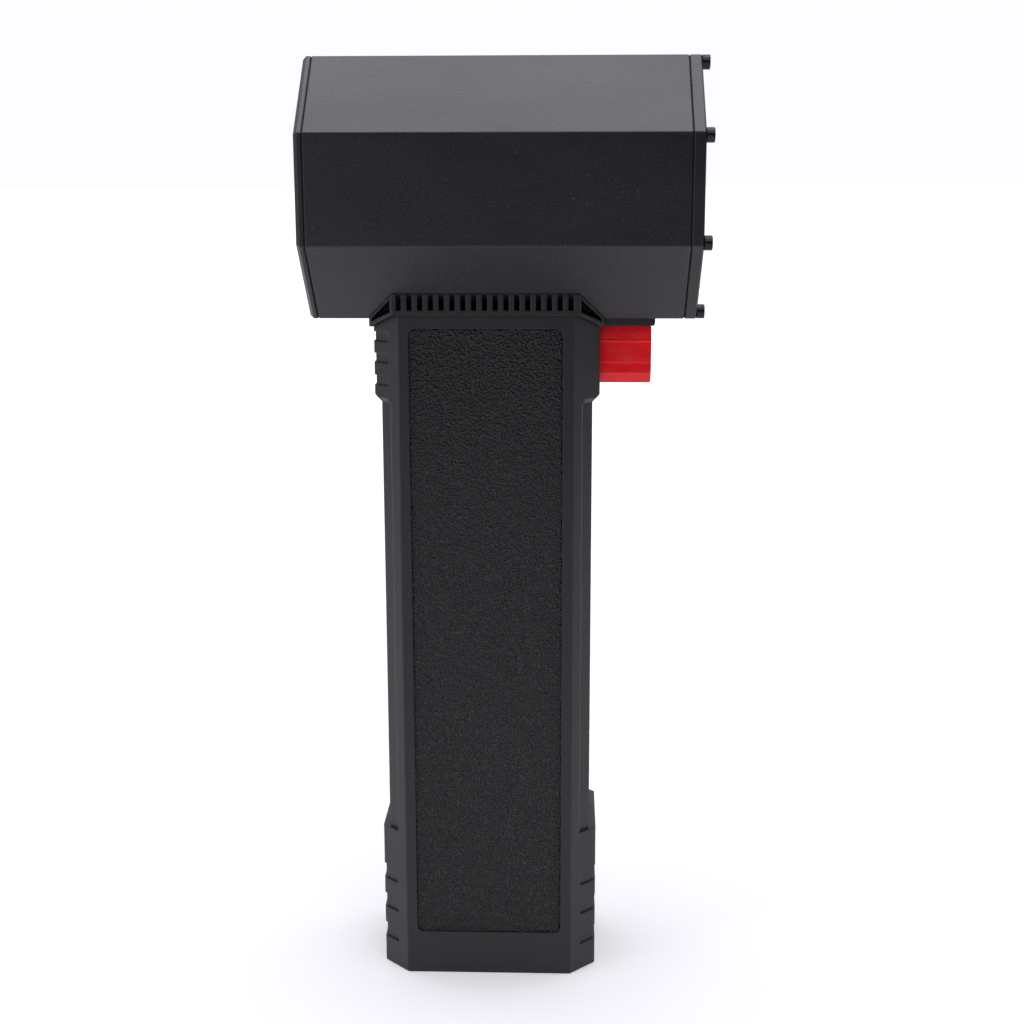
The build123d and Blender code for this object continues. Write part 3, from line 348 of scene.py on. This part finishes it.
def pad_skin(node_name, side):
    low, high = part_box(node_name)
    half_x = (high.x - low.x) / 2 + 0.08 * MM
    mid_z = (high.z + low.z) / 2
    half_z = (high.z - low.z) / 2 + 0.08 * MM
    outer_y = low.y if side < 0 else high.y
    inner_y = high.y if side < 0 else low.y
    corner = 2.25 * MM
    step = 0.45 * MM
    roll = 0.8 * MM
    cols = int(round(2 * half_x / step))
    rows = int(round(2 * half_z / step))
    verts, faces = [], []
    for j in range(rows + 1):
        z = -half_z + 2 * half_z * j / rows
        for i in range(cols + 1):
            x = -half_x + 2 * half_x * i / cols
            px, pz = x, z
            # pull the grid's corners in to the pad's corner radius
            cx, cz = half_x - corner, half_z - corner
            if abs(px) > cx and abs(pz) > cz:
                dx, dz = abs(px) - cx, abs(pz) - cz
                reach = max(dx, dz)
                length = math.hypot(dx, dz)
                if length > 0:
                    dx, dz = dx * reach / length, dz * reach / length
                px = math.copysign(cx + dx, px)
                pz = math.copysign(cz + dz, pz)
                edge = corner - reach
            else:
                edge = min(half_x - abs(px), half_z - abs(pz))
            lift = min(1.0, max(0.0, edge / roll))
            dome = math.sqrt(max(0.0, 1 - (1 - lift) ** 2))
            depth = 0.16 * MM * (1 - dome) + 0.02 * MM * dome
            depth -= swell(px, pz, 3.7 * side) * dome
            verts.append((px, outer_y - side * depth, mid_z + pz))
    for j in range(rows):
        for i in range(cols):
            a = j * (cols + 1) + i
            quad = (a, a + 1, a + cols + 2, a + cols + 1)
            faces.append(quad if side < 0 else quad[::-1])
    # skirt down to the bottom of the pocket
    rim = list(range(cols + 1))
    rim += [j * (cols + 1) + cols for j in range(1, rows + 1)]
    rim += [rows * (cols + 1) + i for i in range(cols - 1, -1, -1)]
    rim += [j * (cols + 1) for j in range(rows - 1, 0, -1)]
    first = len(verts)
    for index in rim:
        x, _, z = verts[index]
        verts.append((x, inner_y, z))
    for k in range(len(rim)):
        nxt = (k + 1) % len(rim)
        quad = (rim[k], first + k, first + nxt, rim[nxt])
        faces.append(quad if side < 0 else quad[::-1])
    back = tuple(range(first, first + len(rim)))
    faces.append(back if side > 0 else back[::-1])
    mesh = bpy.data.meshes.new(node_name + "_skin")
    mesh.from_pydata(verts, [], faces)
    mesh.validate()
    for polygon in mesh.polygons:
        polygon.use_smooth = len(polygon.vertices) == 4
    mesh.materials.append(materials["grip_leather"])
    skin = bpy.data.objects.new(node_name + "_skin", mesh)
    bpy.context.scene.collection.objects.link(skin)
    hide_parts(node_name)
    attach(skin, "housing")
    return skin


pad_skin("grip_pad_right", -1)
pad_skin("grip_pad_left", 1)

# ---- trigger spring: a wire coil of one fixed length; the real one shortens as the trigger moves in ---
low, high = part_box("trigger_spring")
wire = 0.45 * MM
turns = 9.0
ring = 10
axis_y, axis_z = (low.y + high.y) / 2, (low.z + high.z) / 2
coil_r = (high.z - low.z) / 2 - wire
start_x, end_x = low.x + wire, high.x - wire
count = int(turns * 28)
verts, faces = [], []
for i in range(count + 1):
    share = i / count
    # closed end turns, open ones between
    eased = share - math.sin(4 * math.pi * share) * 0.02
    angle = 2 * math.pi * turns * share
    out = Vector((0.0, math.cos(angle), math.sin(angle)))
    middle = Vector((start_x + (end_x - start_x) * eased, axis_y, axis_z)) + out * coil_r
    for k in range(ring):
        turn_k = 2 * math.pi * k / ring
        along_axis = Vector((1, 0, 0)) * wire * math.sin(turn_k)
        verts.append(middle + out * wire * math.cos(turn_k) + along_axis)
for i in range(count):
    for k in range(ring):
        nxt = (k + 1) % ring
        faces.append((i * ring + k, i * ring + nxt, (i + 1) * ring + nxt, (i + 1) * ring + k))
faces.append(tuple(range(ring - 1, -1, -1)))
faces.append(tuple(range(count * ring, (count + 1) * ring)))
mesh = bpy.data.meshes.new("trigger_spring_wire")
mesh.from_pydata(verts, [], faces)
for polygon in mesh.polygons:
    polygon.use_smooth = True
mesh.materials.append(materials["bright_steel"])
spring = bpy.data.objects.new("trigger_spring_wire", mesh)
bpy.context.scene.collection.objects.link(spring)
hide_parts("trigger_spring")
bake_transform(spring)

# ---- floor, light and camera ------------------------------------------------
floor_mesh = bpy.data.meshes.new("floor")
floor_mesh.from_pydata([(-40, -40, 0), (40, -40, 0), (40, 40, 0), (-40, 40, 0)], [], [(0, 1, 2, 3)])
floor = bpy.data.objects.new("floor", floor_mesh)
bpy.context.scene.collection.objects.link(floor)
ground = Shade("light_table", roughness=0.9, specular=0.1)
ground.colour(ground.blend(ground.noise(5.0, 3.0), (0.84, 0.84, 0.84), (0.86, 0.86, 0.86)))
along = ground.tree.nodes.new("ShaderNodeSeparateXYZ")
ground.link(ground.coords.outputs["Object"], along.inputs[0])
# full glow from the dryer's near side backwards, fading out towards the front and far to the sides
aside = ground.math("SUBTRACT", ground.math("ABSOLUTE", along.outputs["X"]), 0.2)
set_back = ground.math("MULTIPLY", ground.math("MAXIMUM", aside, 0.0), 0.6)
glow = ground.spread(ground.math("SUBTRACT", along.outputs["Y"], set_back), -0.38, -0.05, soft=True)
away = ground.tree.nodes.new("ShaderNodeVectorMath")
away.operation = "LENGTH"
ground.link(ground.coords.outputs["Object"], away.inputs[0])
far = ground.spread(away.outputs["Value"], 0.25, 1.6, 0.2, 0.95)
ground.bsdf.inputs["Emission Color"].default_value = (1.0, 1.0, 1.0, 1.0)
# the unlit front of the table is still shown to the camera nearly as pale as the rest
path = ground.tree.nodes.new("ShaderNodeLightPath")
unlit = ground.math("SUBTRACT", 1.0, glow)
seen = ground.math("MULTIPLY", path.outputs["Is Camera Ray"], ground.math("MULTIPLY", unlit, 0.75))
strength = ground.math("MULTIPLY", ground.math("ADD", glow, seen), far)
ground.link(strength, ground.bsdf.inputs["Emission Strength"])
floor_mesh.materials.append(ground.mat)

world = bpy.data.worlds.new("studio")
bpy.context.scene.world = world
world.use_nodes = True
sky = world.node_tree
background = sky.nodes["Background"]
background.inputs["Color"].default_value = (0.985, 0.975, 1.04, 1.0)
direction = sky.nodes.new("ShaderNodeTexCoord")
split = sky.nodes.new("ShaderNodeSeparateXYZ")
sky.links.new(direction.outputs["Generated"], split.inputs[0])
level = sky.nodes.new("ShaderNodeMapRange")
level.interpolation_type = "SMOOTHSTEP"
for socket, value in (("From Min", -0.5), ("From Max", 0.8), ("To Min", 0.05), ("To Max", 0.75)):
    level.inputs[socket].default_value = value
sky.links.new(split.outputs["Y"], level.inputs["Value"])
seen = sky.nodes.new("ShaderNodeLightPath")
shown = sky.nodes.new("ShaderNodeMix")
shown.data_type = "FLOAT"
sky.links.new(seen.outputs["Is Camera Ray"], shown.inputs["Factor"])
sky.links.new(level.outputs["Result"], shown.inputs["A"])
shown.inputs["B"].default_value = 1.0
sky.links.new(shown.outputs["Result"], background.inputs["Strength"])


def softbox(name, place, aim, size, radiance):
    """A rectangular softbox given by the brightness of its face."""
    lamp = bpy.data.lights.new(name, "AREA")
    lamp.shape = "RECTANGLE"
    lamp.size, lamp.size_y = size
    lamp.energy = radiance * math.pi * size[0] * size[1]
    lamp.color = (0.98, 0.965, 1.05)
    holder = bpy.data.objects.new(name, lamp)
    holder.location = place
    holder.rotation_euler = (Vector(aim) - Vector(place)).to_track_quat("-Z", "Y").to_euler()
    bpy.context.scene.collection.objects.link(holder)


softbox("top", (0.0, 0.0, 1.3), (0, 0, 0.2), (1.5, 0.9), 3.5)
softbox("front_top", (0.35, -1.0, 1.25), (0, 0, 0.2), (0.8, 0.6), 2.2)
softbox("front_left", (-0.8, -1.3, 0.2), (0, 0, 0.2), (0.5, 0.7), 1.8)
softbox("strip_left", (-0.98, -0.69, 0.35), (0, 0, 0.2), (0.16, 0.9), 4.5)
softbox("strip_right", (0.98, -0.69, 0.35), (0, 0, 0.2), (0.16, 0.9), 0.7)
softbox("left", (-1.25, -0.3, 0.4), (0, 0, 0.15), (0.6, 0.8), 0.7)
softbox("right", (1.3, 0.0, 0.4), (0, 0, 0.15), (0.6, 0.8), 0.15)

# fitted to the corners of the head and the handle
LENS_MM = 54.97
CAMERA_PLACE = (0.02504, -0.51145, 0.26535)
CAMERA_TURN = (1.9828, -12.1247, 0.1247)  # yaw, pitch and roll in degrees

camera_data = bpy.data.cameras.new("camera")
camera_data.lens = LENS_MM
camera_data.sensor_width = 36.0
camera_data.clip_start = 0.01
camera = bpy.data.objects.new("camera", camera_data)
yaw, pitch, roll = (math.radians(angle) for angle in CAMERA_TURN)
turn = Matrix.Rotation(yaw, 4, "Z") @ Matrix.Rotation(pitch, 4, "X") @ Matrix.Rotation(roll, 4, "Y")
level_view = Matrix.Rotation(math.pi / 2, 4, "X")
camera.matrix_world = Matrix.Translation(CAMERA_PLACE) @ turn @ level_view
bpy.context.scene.collection.objects.link(camera)
bpy.context.scene.camera = camera
bpy.context.scene.view_settings.view_transform = "Standard"
